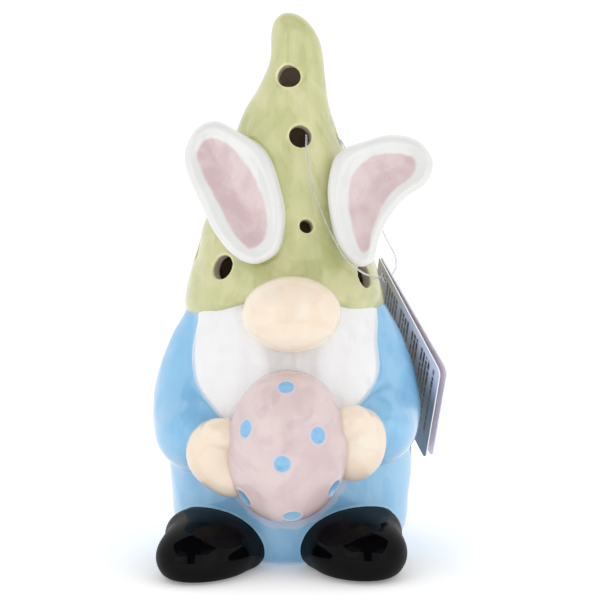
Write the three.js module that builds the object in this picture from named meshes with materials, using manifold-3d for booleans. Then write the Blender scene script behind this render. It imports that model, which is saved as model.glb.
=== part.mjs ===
// A light-up ceramic garden gnome about 200 mm tall. A hollow glazed figure (coat, hat, ears, nose, beard,
// sleeves, hands, egg and boots, each formed by itself and joined with slip before firing) stands over a
// battery light unit that plugs into its base, and a folded card hangs from a thread loop through its hat.
//
// Millimetres, +Z up, -Y is the front. X = 0 and Y = 0 are the middle of the figure's footprint box and
// Z = 0 is the surface it stands on.
import * as THREE from "three";
import { mergeVertices } from "three/addons/utils/BufferGeometryUtils.js";
import Module from "manifold-3d";

const wasm = await Module();
wasm.setup();

// ---- Driving dimensions ----
const FIGURE_X = -1.9; // moves the figure's own axis so that its box is centred on the origin
const FIGURE_Y = 13;
const WALL = 4.2; // slip-cast wall
const SLIP = 0.3; // gap left for the slip that joins two clay parts
const PLAY = 0.35; // clearance between moulded plastic parts
const TORSO_TOP = 95.5;
const FLOOR_TOP = 6; // inside face of the coat's floor
const CAVITY_TOP = 189;
const BASE_HOLE_R = 22.4; // mouth in the floor that takes the light unit
const FLANGE_POCKET_R = 26.2;
const FLANGE_POCKET_H = 2.8;
const SIDES = 28; // round ceramic forms

// Coat: height, half width, centre in X, depth as a share of width
const TORSO_STATIONS = [
  [0, 38.5, 1.7, 0.87],
  [2, 41.2, 1.7, 0.87],
  [8, 43.2, 1.7, 0.87],
  [20, 44.4, 1.7, 0.87],
  [40, 45.4, 1.7, 0.87],
  [60, 43.6, 1.2, 0.88],
  [80, 39, 0.2, 0.92],
  [TORSO_TOP, 34.6, -0.6, 0.95],
];

// Hat: the brim flares over the coat, and the tip leans and ends in a blunt round
const HAT_STATIONS = [
  [89, 35.6, -0.8, 0.99],
  [91, 37.2, -0.8, 0.99],
  [97, 36.6, -0.8, 0.98],
  [112, 32.8, -0.7, 0.96],
  [130, 27.2, -0.4, 0.93],
  [143, 23, 0.2, 0.91],
  [152, 20.3, 0.5, 0.9],
  [161, 17.1, 0.4, 0.88],
  [168, 14.5, 1.2, 0.86],
  [175, 11.9, 2.9, 0.86],
  [183, 9.8, 4.2, 0.86],
  [190, 9, 3.4, 0.88],
  [194.5, 7.6, 2.4, 0.9],
  [197.5, 5.6, 1.8, 0.9],
  [199.3, 3, 1.4, 0.9],
  [200, 0, 1.1, 0.9],
];

// Holes that let the light out: turn from the front towards +X in degrees, height, radius
const LIGHT_HOLES = [
  [-13, 177.2, 4.1],
  [15.4, 155.7, 4.1],
  [16, 123.8, 2.5],
  [-42, 108.7, 4.5],
  [58.6, 104.8, 4.5],
  [86, 154.5, 4.1],
  [-86, 112.5, 4.1],
  [180, 166, 4.1],
  [164, 132, 4.1],
  [-148, 112, 4.5],
  [134, 110, 4.5],
];

const EGG = { at: [0.5, -44.6, 46.8], half: [22, 20.9, 28.1], tilt: 3 };
const NOSE = { at: [2, -43, 93.8], half: [17.7, 14, 13.6] };

// Rounded clay lumps, each { at, half sizes, tilt about Y in degrees }. The first of a pair is the main one.
const SLEEVE_LEFT = [
  { at: [-32.2, -4, 57], half: [17.7, 17, 31], tilt: 2 },
  { at: [-30.6, -18, 47.6], half: [17, 22, 16], tilt: 8 },
];
const SLEEVE_RIGHT = [
  { at: [32.4, -4, 57.6], half: [17, 17, 31], tilt: -2 },
  { at: [30.6, -18, 49.4], half: [17, 22, 16], tilt: -8 },
];
const HAND_LEFT = [
  { at: [-27, -40.5, 44.4], half: [9.2, 9.4, 11.2], tilt: -8 },
  { at: [-23.2, -45, 38.6], half: [6, 6.4, 7], tilt: 0 },
];
const HAND_RIGHT = [
  { at: [26.6, -40.5, 47.6], half: [9.6, 9.4, 12.2], tilt: 8 },
  { at: [24, -45, 41], half: [6, 6.4, 7], tilt: 0 },
];
const SHOE_LEFT = [
  { at: [-28.2, -42, 8], half: [18.4, 22, 13.4], tilt: -4 },
  { at: [-31, -28, 10.6], half: [12, 15, 11], tilt: -10 },
  { at: [-18.4, -36, 6], half: [10.4, 15, 8.6], tilt: 0 },
];
const SHOE_RIGHT = [
  { at: [25, -42, 8.4], half: [18.4, 22, 13.8], tilt: 4 },
  { at: [28.6, -28, 11.4], half: [12.4, 15, 11.4], tilt: 10 },
  { at: [15.4, -36, 6.6], half: [10.4, 15, 9], tilt: 0 },
];

// Ears, seen from the front: outline and inner hollow through points [x, z]
const EAR_LEFT_EDGE = [
  [-37, 148], [-33.4, 158.4], [-26.2, 161.6], [-18, 158.2], [-7.6, 151], [-2.6, 139], [-0.6, 126],
  [-3.2, 115.6], [-10.6, 111.6], [-18.6, 114.4], [-25.4, 122], [-30.6, 132],
];
const EAR_LEFT_DISH = [
  [-32.2, 150.4], [-28.8, 155.4], [-22.8, 154.6], [-14.8, 147], [-8.8, 136], [-6.8, 126.6],
  [-8.6, 119.6], [-13, 117.4], [-18.4, 122.4], [-25, 134], [-30.4, 144],
];
const EAR_RIGHT_EDGE = [
  [26.4, 110.6], [19.2, 117.6], [15.6, 128.6], [15.2, 140], [19, 150.4], [28, 154.4], [38.8, 156.6],
  [48.4, 154.4], [53.6, 147.4], [51.6, 140], [43.6, 134.4], [37.2, 127.4], [33.4, 119.4], [31, 112],
];
const EAR_RIGHT_DISH = [
  [27.6, 115.4], [24.2, 123.6], [22.6, 133.4], [24, 142.2], [30.4, 148.8], [39.4, 150.2], [46.8, 148],
  [46, 142.4], [39.6, 137.8], [34.2, 131], [30.8, 122.6], [29.4, 116.8],
];
const EAR_THICK = 8;
const EAR_DISH_DEPTH = 3.2;
// The ear leans back as it rises: its front face is at Y = EAR_FRONT at height EAR_LEAN_Z
const EAR_FRONT = -35.5;
const EAR_LEAN_Z = 118;
const EAR_LEAN = 0.42;
const EAR_SPLAY = 0.16; // the outer edge of each ear sits further back

// Beard: outline seen from the front through points [x, z]
const BEARD_EDGE = [
  [-32.6, 95], [-33.8, 84], [-33.8, 73], [-31, 65], [-23, 57], [-14, 50], [0, 46], [15, 50],
  [25, 58], [31, 65], [33.4, 74], [33.2, 84], [31.4, 95],
];
const BEARD_THICK = 3.4;
const BEARD_TOP = 99.5;

// Light unit, on its own upright axis at X = UNIT_X
const UNIT_X = 1.7;
const UNIT_SIDES = 24;
const FLANGE = { radius: 25.8, low: 0.7, high: 2.45 };
const HOUSING = { radius: 19.6, wall: 1.4, low: 2.8, high: 24, lampHole: 3.1 };
const BAY = { low: [-12.7, -7.4], high: [10.7, 7.4], top: 16.7, wall: 1.2 };
const CELL = { radius: 5.8, length: 5.4, pitch: 5.7, height: 8.7 };
const DOOR = { low: [-12.9, -7.6, 0.75], high: [16.9, 7.6, 1.75] };
const DOOR_TRAVEL_GAP = 0.3;
const SCREW = { x: 13.8, head: 1.9, shaft: 0.9, running: 0.1, boss: 2.5, bossTop: 9, tip: 7.4 };
const SWITCH = { y: 13, slot: [4.2, 1.3], knob: [1.4, 0.95], low: 2.8, high: 8, body: [5.6, 2.8] };
const SWITCH_TRAVEL = 3;
const BOARD = { radius: 17.4, low: 17.1, high: 18.3 };
const CAP = { radius: 12.6, wall: 1.4, base: 24.35, top: 36.6 };
const RING = { inner: 19.95, outer: 22.05, lip: 23.5, low: 2.9, lipLow: 6.3, high: 7.4 };

// Folded card that hangs by one corner
const CARD_SIDE = 57;
const CARD_THICK = 0.5;
const CARD_ROUND = 3;
const CARD_HOLE_R = 2;
const CARD_HOLE_IN = 5.5; // hole centre from both edges
const CARD_CORNER = [35.3, 17, 107.5]; // corner nearest the hat, on the face towards the figure
const CARD_DOWN = [21.1, -36.7, -38.3]; // direction of the edge that comes forward
const CARD_FOLD = [-2.9, 40.3, -40.2]; // direction of the fold
const CARD_GAP = 0.3; // between the leaves at the fold
const CARD_SPLAY = 2; // degrees between the leaves at rest

// Thread loop: from its lock inside the hat, out of the front hole, down past the ear, through the card,
// up behind the ear and back in through the side hole
const THREAD_R = 0.35;
const THREAD_SIDES = 8;
const THREAD_STEPS = 64;
const THREAD_DOWN = [
  [8.6, -8, 152.4],
  [7.2, -13, 155.6],
  [7.4, -17.8, 155.4],
  [7.5, -20, 150],
  [9.6, -23.4, 138],
  [13.6, -28.4, 127],
  [17.4, -35, 119.6],
  [21.6, -38.6, 112.9],
  [26.6, -37.4, 108.6],
  [32.6, -20, 104.6],
  [35.6, 4, 101.6],
];
// The same, on the card's own axes: down its forward edge, along the fold and away from the figure
const THREAD_AT_CARD = [
  [5.5, 5.5, -2.2],
  [5.5, 5.5, 1.2],
  [5.3, 5.2, 3.6],
  [4.2, 3.4, 5.4],
  [2, 0, 6],
];
const THREAD_UP = [
  [38, 12.4, 115],
  [33, 8.4, 126],
  [23, 1.4, 148],
  [19.4, -1, 153.6],
  [14, -3.6, 153.6],
  [9.2, -5.6, 151.6],
];
const LOCK = { at: [8.4, -7, 149.2], half: [1.6, 1.9, 2.4] };

const CERAMIC = { roughness: 0.16, metalness: 0 };
const finish = {
  blue: new THREE.MeshStandardMaterial({ color: 0x8cc3e6, ...CERAMIC }),
  green: new THREE.MeshStandardMaterial({ color: 0xcccf96, ...CERAMIC }),
  white: new THREE.MeshStandardMaterial({ color: 0xf1f0f1, ...CERAMIC }),
  flesh: new THREE.MeshStandardMaterial({ color: 0xf6dfc4, ...CERAMIC }),
  pink: new THREE.MeshStandardMaterial({ color: 0xdfc6c9, ...CERAMIC }),
  black: new THREE.MeshStandardMaterial({ color: 0x0b0b0d, roughness: 0.08, metalness: 0 }),
  abs: new THREE.MeshStandardMaterial({ color: 0xe9e8e2, roughness: 0.5, metalness: 0 }),
  silicone: new THREE.MeshStandardMaterial({ color: 0xd9dcdc, roughness: 0.7, metalness: 0 }),
  board: new THREE.MeshStandardMaterial({ color: 0x2f6b45, roughness: 0.6, metalness: 0 }),
  lamp: new THREE.MeshStandardMaterial({ color: 0xf4f1dc, roughness: 0.1, metalness: 0 }),
  steel: new THREE.MeshStandardMaterial({ color: 0xb9bcc0, roughness: 0.3, metalness: 1 }),
  card: new THREE.MeshStandardMaterial({ color: 0xf3f3f6, roughness: 0.4, metalness: 0 }),
  thread: new THREE.MeshStandardMaterial({ color: 0xf2f4f5, roughness: 0.3, metalness: 0 }),
};

// ---- Helpers ----

// A closed three.js geometry as a solid that can be joined and cut.
function solid(geometry) {
  const bare = geometry.index ? geometry.toNonIndexed() : geometry.clone();
  for (const name of Object.keys(bare.attributes)) if (name !== "position") bare.deleteAttribute(name);
  const merged = mergeVertices(bare, 1e-4);
  return new wasm.Manifold(
    new wasm.Mesh({
      numProp: 3,
      vertProperties: merged.attributes.position.array,
      triVerts: new Uint32Array(merged.index.array),
    }),
  );
}

// A named mesh from a solid.
function part(name, made, material) {
  const { numProp, vertProperties, triVerts } = made.getMesh();
  const geometry = new THREE.BufferGeometry();
  const points = new THREE.InterleavedBuffer(vertProperties, numProp);
  geometry.setAttribute("position", new THREE.InterleavedBufferAttribute(points, 3, 0));
  geometry.setIndex(new THREE.BufferAttribute(triVerts, 1));
  const flat = geometry.toNonIndexed();
  flat.computeVertexNormals();
  const mesh = new THREE.Mesh(flat, material);
  mesh.name = name;
  return mesh;
}

// Moves every vertex of a geometry with move(vertex).
function warp(geometry, move) {
  const position = geometry.attributes.position;
  const vertex = new THREE.Vector3();
  for (let i = 0; i < position.count; i++) {
    move(vertex.fromBufferAttribute(position, i));
    position.setXYZ(i, vertex.x, vertex.y, vertex.z);
  }
  return geometry;
}

// A smooth function of height through rows [z, a, b, ...], returning [a, b, ...].
function smoothTable(rows) {
  const slope = (i, k) => {
    const before = rows[Math.max(i - 1, 0)];
    const after = rows[Math.min(i + 1, rows.length - 1)];
    return (after[k] - before[k]) / (after[0] - before[0]);
  };
  return (z) => {
    let i = 0;
    while (i < rows.length - 2 && z > rows[i + 1][0]) i++;
    const span = rows[i + 1][0] - rows[i][0];
    const t = THREE.MathUtils.clamp((z - rows[i][0]) / span, 0, 1);
    const [s, e] = [t * t * (3 - 2 * t), t * (1 - t)];
    return rows[i].slice(1).map((from, j) => {
      const to = rows[i + 1][j + 1];
      const bend = e * ((1 - t) * slope(i, j + 1) - t * slope(i + 1, j + 1)) * span;
      return from + (to - from) * s + bend;
    });
  };
}

const torsoAt = smoothTable(TORSO_STATIONS);
const hatAt = smoothTable(HAT_STATIONS);

// A round form whose half width, centre and depth follow a table, between two heights.
function turned(table, low, high, grow, rings) {
  const profile = [new THREE.Vector2(0, low)];
  for (let i = 0; i <= rings; i++) {
    const t = i / rings;
    const z = low + (high - low) * (t - 0.13 * Math.sin(2 * Math.PI * t)); // closer together at both ends
    const radius = table(z)[0] + grow;
    if (radius > 0.05) profile.push(new THREE.Vector2(radius, z));
  }
  profile.push(new THREE.Vector2(0, high));
  const lathe = new THREE.LatheGeometry(profile, SIDES).rotateX(Math.PI / 2);
  return warp(lathe, (v) => {
    const [, middle, depth] = table(v.z);
    v.x += middle;
    v.y *= depth;
  });
}

// A round bar along Z between two heights.
function bar(radius, low, high, x = 0, y = 0, sides = UNIT_SIDES) {
  const made = new THREE.CylinderGeometry(radius, radius, high - low, sides);
  return solid(made.rotateX(Math.PI / 2).translate(x, y, (low + high) / 2));
}

// A box between two corners.
function block(low, high) {
  const size = high.map((h, i) => h - low[i]);
  const made = new THREE.BoxGeometry(...size);
  return solid(made.translate(...high.map((h, i) => (h + low[i]) / 2)));
}

// An egg-shaped or ball-shaped solid.
function ball({ at, half, tilt = 0 }, grow = 0, wide = 20, tall = 12) {
  const made = new THREE.SphereGeometry(1, wide, tall).rotateX(Math.PI / 2);
  made.scale(...half.map((h) => h + grow));
  return solid(made.rotateY(THREE.MathUtils.degToRad(tilt)).translate(...at));
}

// Several balls run together.
const lump = (balls, grow = 0, wide = 16, tall = 9) =>
  balls.map((one) => ball(one, grow, wide, tall)).reduce((a, b) => a.add(b));

// A closed smooth outline through points [x, z], as a flat shape.
function outline(points, steps) {
  const curve = new THREE.CatmullRomCurve3(points.map(([x, z]) => new THREE.Vector3(x, z, 0)), true);
  return new THREE.Shape(curve.getPoints(steps).slice(0, -1).map((p) => new THREE.Vector2(p.x, p.y)));
}

// An outline seen from the front, running back from Y = front over the given depth.
function slab(shape, front, depth, bevel = 0) {
  const made = new THREE.ExtrudeGeometry(shape, {
    depth: depth - 2 * bevel,
    bevelEnabled: bevel > 0,
    bevelThickness: bevel,
    bevelSize: bevel,
    bevelOffset: -bevel,
    bevelSegments: 2,
    steps: 1,
  });
  return made.rotateX(Math.PI / 2).translate(0, front + depth - bevel, 0);
}

const cut = (made, ...tools) => tools.reduce((a, b) => a.subtract(b), made);

// ---- Glazed figure ----

// Outer form of the coat, grown by grow all over.
const torsoForm = (grow = 0) =>
  solid(turned(torsoAt, -Math.max(grow, 0), TORSO_TOP + grow, grow, 9));

// The brim's lower edge lifts over the nose and a little at the back of the cheeks.
function brimLift(v) {
  const overNose = 9.5 * Math.exp(-(((v.x - 2) / 13) ** 2));
  return v.y < 0 ? 2.4 * Math.min(1, -v.y / 30) + (v.y < -20 ? overNose : 0) : 0;
}

// Outer form of the hat, with its wavy brim.
function hatForm(grow = 0) {
  const made = turned(hatAt, 89 - grow, 200, grow, 17);
  warp(made, (v) => {
    const low = THREE.MathUtils.clamp((112 - v.z) / 20, 0, 1);
    v.z += brimLift(v) * low;
  });
  return solid(made);
}

const hatCavity = () => solid(turned(hatAt, 88, CAVITY_TOP, -WALL, 8));

// A hole through the hat's wall, square to its surface.
function lightHole([turn, height, radius]) {
  const [half, middle, depth] = hatAt(height);
  const slope = (hatAt(height + 2)[0] - hatAt(height - 2)[0]) / 4;
  const angle = THREE.MathUtils.degToRad(turn);
  const out = new THREE.Vector3(Math.sin(angle), -Math.cos(angle), -slope).normalize();
  const mouth = new THREE.Vector3(middle + half * Math.sin(angle), -half * depth * Math.cos(angle), height);
  const made = new THREE.CylinderGeometry(radius, radius, 5 * WALL, 12);
  made.applyQuaternion(new THREE.Quaternion().setFromUnitVectors(new THREE.Vector3(0, 1, 0), out));
  return solid(made.translate(...mouth.toArray()));
}

// An ear: a thick leaf that leans back and out, hollowed in front.
function ear(edge, dish) {
  const side = Math.sign(edge.reduce((sum, [x]) => sum + x, 0));
  const lean = (v) => {
    v.y += (v.z - EAR_LEAN_Z) * EAR_LEAN + Math.abs(v.x - 10 * side) * EAR_SPLAY;
  };
  const leaf = warp(slab(outline(edge, 34), EAR_FRONT, EAR_THICK, 2.2), lean);
  const hollow = warp(slab(outline(dish, 26), EAR_FRONT - 2, EAR_DISH_DEPTH + 2), lean);
  return cut(solid(leaf), solid(hollow));
}

const aboveFloor = (made, height = 0) => cut(made, block([-99, -99, -40], [99, 99, height]));

function figureParts() {
  const coat = torsoForm(SLIP);
  const hatSkin = hatForm(SLIP);
  const beardForm = (grow) => {
    const face = outline(BEARD_EDGE, 26);
    const front = solid(turned(torsoAt, 30, BEARD_TOP, BEARD_THICK + grow, 6));
    const behind = solid(turned(torsoAt, 28, BEARD_TOP + 2, SLIP, 5));
    return cut(front.intersect(solid(slab(face, -70, 62))), behind);
  };
  const egg = ball(EGG, SLIP);
  const nose = ball(NOSE, SLIP);
  const handLeft = lump(HAND_LEFT, SLIP);
  const handRight = lump(HAND_RIGHT, SLIP);
  const beard = beardForm(SLIP);

  const cavity = solid(turned(torsoAt, FLOOR_TOP, TORSO_TOP + 3, -WALL, 6));
  const torso = cut(
    torsoForm(),
    cavity,
    bar(BASE_HOLE_R, -1, FLOOR_TOP + 1, UNIT_X),
    bar(FLANGE_POCKET_R, -1, FLANGE_POCKET_H, UNIT_X),
  );
  const hat = cut(hatForm(), hatCavity(), coat, beard, nose, ...LIGHT_HOLES.map(lightHole));
  const sleeve = (balls) => cut(lump(balls), coat, hatSkin, beard, egg, handLeft, handRight);
  const boot = (balls) => aboveFloor(cut(lump(balls), coat, egg));

  return [
    part("torso_shell", torso, finish.blue),
    part("hat_shell", hat, finish.green),
    part("beard", cut(beardForm(0), coat, hatSkin, nose, egg, handLeft, handRight), finish.white),
    part("nose", cut(ball(NOSE), coat, hatCavity()), finish.flesh),
    part("ear_left", cut(ear(EAR_LEFT_EDGE, EAR_LEFT_DISH), hatSkin), finish.white),
    part("ear_right", cut(ear(EAR_RIGHT_EDGE, EAR_RIGHT_DISH), hatSkin), finish.white),
    part("sleeve_left", sleeve(SLEEVE_LEFT), finish.blue),
    part("sleeve_right", sleeve(SLEEVE_RIGHT), finish.blue),
    part("hand_left", cut(lump(HAND_LEFT), coat, egg), finish.flesh),
    part("hand_right", cut(lump(HAND_RIGHT), coat, egg), finish.flesh),
    part("egg", cut(ball(EGG), coat), finish.pink),
    part("shoe_left", boot(SHOE_LEFT), finish.black),
    part("shoe_right", boot(SHOE_RIGHT), finish.black),
  ];
}

// ---- Light unit ----

// A block on the unit's own axis.
const unitBlock = ([x1, y1, z1], [x2, y2, z2]) => block([UNIT_X + x1, y1, z1], [UNIT_X + x2, y2, z2]);
const unitBar = (radius, low, high, x = 0, y = 0) => bar(radius, low, high, UNIT_X + x, y);

// A turned ring or dome on the unit's axis, from a closed profile of [radius, z].
function unitTurned(profile) {
  const points = profile.map(([r, z]) => new THREE.Vector2(r, z));
  const lathe = new THREE.LatheGeometry(points, UNIT_SIDES).rotateX(Math.PI / 2);
  return solid(lathe.translate(UNIT_X, 0, 0));
}

// Flanged base: battery bay open below, recess for the door, boss for its screw and slot for the switch.
function unitBase() {
  const { low: [x1, y1], high: [x2, y2], top, wall } = BAY;
  const outer = unitBlock([x1, y1, FLANGE.high - 0.5], [x2, y2, top]);
  const inner = unitBlock([x1 + wall, y1 + wall, -1], [x2 - wall, y2 - wall, top - wall]);
  const boss = unitBar(SCREW.boss, FLANGE.high - 0.5, SCREW.bossTop, SCREW.x);
  const recess = unitBlock(
    [DOOR.low[0] - PLAY, DOOR.low[1] - PLAY, -1],
    [DOOR.high[0] + PLAY, DOOR.high[1] + PLAY, DOOR.high[2] + DOOR_TRAVEL_GAP],
  );
  const [slotX, slotY] = SWITCH.slot;
  const slot = unitBlock([-slotX, SWITCH.y - slotY, -1], [slotX, SWITCH.y + slotY, FLANGE.high + 1]);
  const screwHole = unitBar(SCREW.shaft + SCREW.running, -1, SCREW.tip + 0.6, SCREW.x);
  const disc = unitBar(FLANGE.radius, FLANGE.low, FLANGE.high);
  return cut(disc.add(outer).add(boss), inner, recess, slot, screwHole);
}

function lightHousing() {
  const { radius, wall, low, high, lampHole } = HOUSING;
  return cut(
    unitBar(radius, low, high),
    unitBar(radius - wall, low - 1, high - wall),
    unitBar(lampHole, low, high + 1),
  );
}

// A frosted dome, open below.
function lightCap() {
  const { radius, wall, base, top } = CAP;
  const arc = (r, height) =>
    Array.from({ length: 7 }, (_, i) => {
      const turn = (i / 6) * (Math.PI / 2);
      return [r * Math.cos(turn), base + height * Math.sin(turn)];
    });
  const outside = arc(radius, top - base);
  const inside = arc(radius - wall, top - base - wall).reverse();
  outside[6][0] = inside[0][0] = 0;
  return unitTurned([...inside, ...outside]);
}

function ledLamp() {
  const seat = BOARD.high + PLAY;
  const body = unitBar(2.5, seat, seat + 6.4);
  const dome = solid(new THREE.SphereGeometry(2.5, UNIT_SIDES, 6).rotateX(Math.PI / 2)
    .translate(UNIT_X, 0, seat + 6.4));
  return unitBar(2.85, seat, seat + 1).add(body).add(dome);
}

function buttonCell(index) {
  const x = UNIT_X + (index - 1) * CELL.pitch;
  const round = (radius, from, to) => {
    const made = new THREE.CylinderGeometry(radius, radius, to - from, 20).rotateZ(-Math.PI / 2);
    return solid(made.translate(x + (from + to) / 2, 0, CELL.height));
  };
  const half = CELL.length / 2;
  return round(CELL.radius, -half + 0.8, half).add(round(CELL.radius - 0.9, -half, half - 1));
}

// A coil that presses on the first cell.
function contactSpring() {
  const end = UNIT_X - CELL.pitch - CELL.length / 2 - PLAY;
  const start = UNIT_X + BAY.low[0] + BAY.wall + 0.55;
  const points = Array.from({ length: 37 }, (_, i) => {
    const turn = (i / 36) * 3 * 2 * Math.PI;
    const radius = 3.6 - 1.4 * (i / 36);
    const x = start + (end - 0.3 - start) * (i / 36);
    return new THREE.Vector3(x, radius * Math.cos(turn), CELL.height + radius * Math.sin(turn));
  });
  const wire = new THREE.Shape().absarc(0, 0, 0.25, 0, 2 * Math.PI, false);
  const path = new THREE.CatmullRomCurve3(points);
  return solid(new THREE.ExtrudeGeometry(wire, { steps: 42, curveSegments: 3, extrudePath: path }));
}

function contactPlate() {
  const x = CELL.pitch + CELL.length / 2 + PLAY;
  return unitBlock([x, -4.5, 3.6], [x + 0.4, 4.5, 13.4]);
}

function doorScrew() {
  const headTop = DOOR.high[2] - 0.55;
  const head = unitBar(SCREW.head, DOOR.low[2], headTop, SCREW.x);
  const shaft = unitBar(SCREW.shaft, headTop - 0.1, SCREW.tip, SCREW.x);
  const slot = (x, y) => unitBlock([SCREW.x - x, -y, 0], [SCREW.x + x, y, DOOR.low[2] + 0.25]);
  return cut(head.add(shaft), slot(1.3, 0.22), slot(0.22, 1.3));
}

function batteryDoor() {
  const clear = PLAY - 0.1;
  return cut(
    unitBlock(DOOR.low, DOOR.high),
    unitBar(SCREW.head + clear, -1, DOOR.high[2] - 0.4, SCREW.x),
    unitBar(SCREW.shaft + clear, -1, 5, SCREW.x),
  );
}

// Slide switch: a box open below, with the slider's foot inside it.
function switchBody() {
  const [x, y] = SWITCH.body;
  return cut(
    unitBlock([-x, SWITCH.y - y, SWITCH.low], [x, SWITCH.y + y, SWITCH.high]),
    unitBlock([-x + 1, SWITCH.y - y + 1, SWITCH.low - 1], [x - 1, SWITCH.y + y - 1, SWITCH.low + 1.9]),
  );
}

function switchSlider() {
  const [x, y] = SWITCH.knob;
  const off = -SWITCH_TRAVEL / 2;
  return unitBlock([off - x, SWITCH.y - y, FLANGE.low + 0.2], [off + x, SWITCH.y + y, SWITCH.low + 0.5])
    .add(unitBlock([off - 2.6, SWITCH.y - 1.4, SWITCH.low + 0.3], [off + 2.6, SWITCH.y + 1.4, SWITCH.low + 1.5]));
}

function sealingRing() {
  const { inner, outer, lip, low, lipLow, high } = RING;
  return unitTurned([
    [inner, low], [outer, low], [outer, lipLow], [lip, lipLow], [outer, high], [inner, high], [inner, low],
  ]);
}

function lightUnitParts() {
  const cells = [0, 1, 2].map((i) => part(`battery_${i + 1}`, buttonCell(i), finish.steel));
  return [
    part("unit_base", unitBase(), finish.abs),
    part("light_housing", lightHousing(), finish.abs),
    part("light_cap", lightCap(), finish.silicone),
    part("led_lamp", ledLamp(), finish.lamp),
    part("circuit_board", unitBar(BOARD.radius, BOARD.low, BOARD.high), finish.board),
    part("switch_body", switchBody(), finish.steel),
    part("switch_slider", switchSlider(), finish.black),
    ...cells,
    part("contact_spring", contactSpring(), finish.steel),
    part("contact_plate", contactPlate(), finish.steel),
    part("battery_door", batteryDoor(), finish.abs),
    part("door_screw", doorScrew(), finish.steel),
    part("sealing_ring", sealingRing(), finish.silicone),
  ];
}

// ---- Hang tag ----

// The card's own axes: X down its forward edge, Y along the fold, Z away from the figure.
function cardFrame() {
  const down = new THREE.Vector3(...CARD_DOWN).normalize();
  const away = new THREE.Vector3().crossVectors(down, new THREE.Vector3(...CARD_FOLD)).normalize();
  const fold = new THREE.Vector3().crossVectors(away, down);
  return new THREE.Matrix4().makeBasis(down, fold, away).setPosition(...CARD_CORNER);
}

// One leaf, flat on the card's own XY plane, with two rounded corners and a punched hole.
function cardLeaf() {
  const [s, r] = [CARD_SIDE, CARD_ROUND];
  const shape = new THREE.Shape();
  shape.moveTo(0, 0).lineTo(s - r, 0).absarc(s - r, r, r, -Math.PI / 2, 0, false);
  shape.lineTo(s, s - r).absarc(s - r, s - r, r, 0, Math.PI / 2, false).lineTo(0, s);
  const hole = new THREE.Path().absarc(CARD_HOLE_IN, CARD_HOLE_IN, CARD_HOLE_R, 0, 2 * Math.PI, true);
  shape.holes.push(hole);
  return new THREE.ExtrudeGeometry(shape, { depth: CARD_THICK, bevelEnabled: false, curveSegments: 6 });
}

function tagParts() {
  const frame = cardFrame();
  const crease = CARD_THICK + CARD_GAP / 2;
  const splay = THREE.MathUtils.degToRad(-CARD_SPLAY);
  const cover = cardLeaf().translate(0.2, 0, CARD_GAP / 2).rotateY(splay).translate(0, 0, crease);
  const points = (rows) => rows.map((row) => new THREE.Vector3(...row));
  const atCard = points(THREAD_AT_CARD).map((p) => p.applyMatrix4(frame));
  const along = [...points(THREAD_DOWN), ...atCard, ...points(THREAD_UP)];
  const section = new THREE.Shape().absarc(0, 0, THREAD_R, 0, 2 * Math.PI, false);
  const loop = new THREE.ExtrudeGeometry(section, {
    steps: THREAD_STEPS,
    curveSegments: THREAD_SIDES / 2, // a full turn takes twice this many
    extrudePath: new THREE.CatmullRomCurve3(along, false, "centripetal"),
  });
  const lock = new THREE.SphereGeometry(1, 10, 6).scale(...LOCK.half).translate(...LOCK.at);
  return [
    part("tag_loop", solid(loop), finish.thread),
    part("tag_lock", solid(lock), finish.thread),
    part("tag_leaf", solid(cardLeaf().applyMatrix4(frame)), finish.card),
    part("tag_cover", solid(cover.applyMatrix4(frame)), finish.card),
  ];
}

const gnome = new THREE.Group();
gnome.position.set(FIGURE_X, FIGURE_Y, 0);
for (const mesh of [...figureParts(), ...lightUnitParts(), ...tagParts()]) gnome.add(mesh);

export default gnome;
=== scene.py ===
"""Looks for a light-up ceramic garden gnome with rabbit ears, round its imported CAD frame.

The glazed figure is described by distance functions, in millimetres on the figure's own axis (+Z up, -Y the
front). Its members run together with small fillets, as slip and glaze leave them, and each member is then
meshed as a closed piece of its own. The card and the light unit keep their CAD nodes, with better
materials.
"""
import math
from functools import reduce

import bpy
import numpy as np
import openvdb
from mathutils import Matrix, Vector


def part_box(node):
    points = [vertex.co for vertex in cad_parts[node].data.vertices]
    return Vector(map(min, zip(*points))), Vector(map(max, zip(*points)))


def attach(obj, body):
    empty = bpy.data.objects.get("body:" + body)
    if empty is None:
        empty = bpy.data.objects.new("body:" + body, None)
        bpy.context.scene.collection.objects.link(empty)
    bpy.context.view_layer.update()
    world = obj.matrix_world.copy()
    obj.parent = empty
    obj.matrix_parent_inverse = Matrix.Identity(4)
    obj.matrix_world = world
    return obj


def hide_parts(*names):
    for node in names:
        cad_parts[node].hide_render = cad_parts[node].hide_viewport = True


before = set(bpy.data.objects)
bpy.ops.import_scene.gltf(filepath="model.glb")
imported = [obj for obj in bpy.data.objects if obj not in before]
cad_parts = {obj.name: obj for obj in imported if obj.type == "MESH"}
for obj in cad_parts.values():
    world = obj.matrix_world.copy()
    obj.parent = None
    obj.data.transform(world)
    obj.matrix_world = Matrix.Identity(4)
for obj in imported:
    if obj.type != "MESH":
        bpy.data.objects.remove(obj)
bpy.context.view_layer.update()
MM = 0.001

# ---- Where the figure stands: its axis is UNIT_X to the left of the light unit's ----
UNIT_X = 1.7
_low, _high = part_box("light_cap")
AXIS = np.array([(_low[0] + _high[0]) / 2 / MM - UNIT_X, (_low[1] + _high[1]) / 2 / MM, 0.0])


def row_point(point):
    """A point on the figure's axis in millimetres, as a point in the row frame in metres."""
    return Vector((np.asarray(point, float) + AXIS) * MM)


def add_object(name, data):
    made = bpy.data.objects.new(name, data)
    bpy.context.scene.collection.objects.link(made)
    return made


# ---- Camera ----
CAMERA_AT = (0, -893.3, 206.7)
CAMERA_AIM = (5.2, -0.4, 93.6)
CAMERA_LENS = 144.7
CAMERA_SENSOR = 36


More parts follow.
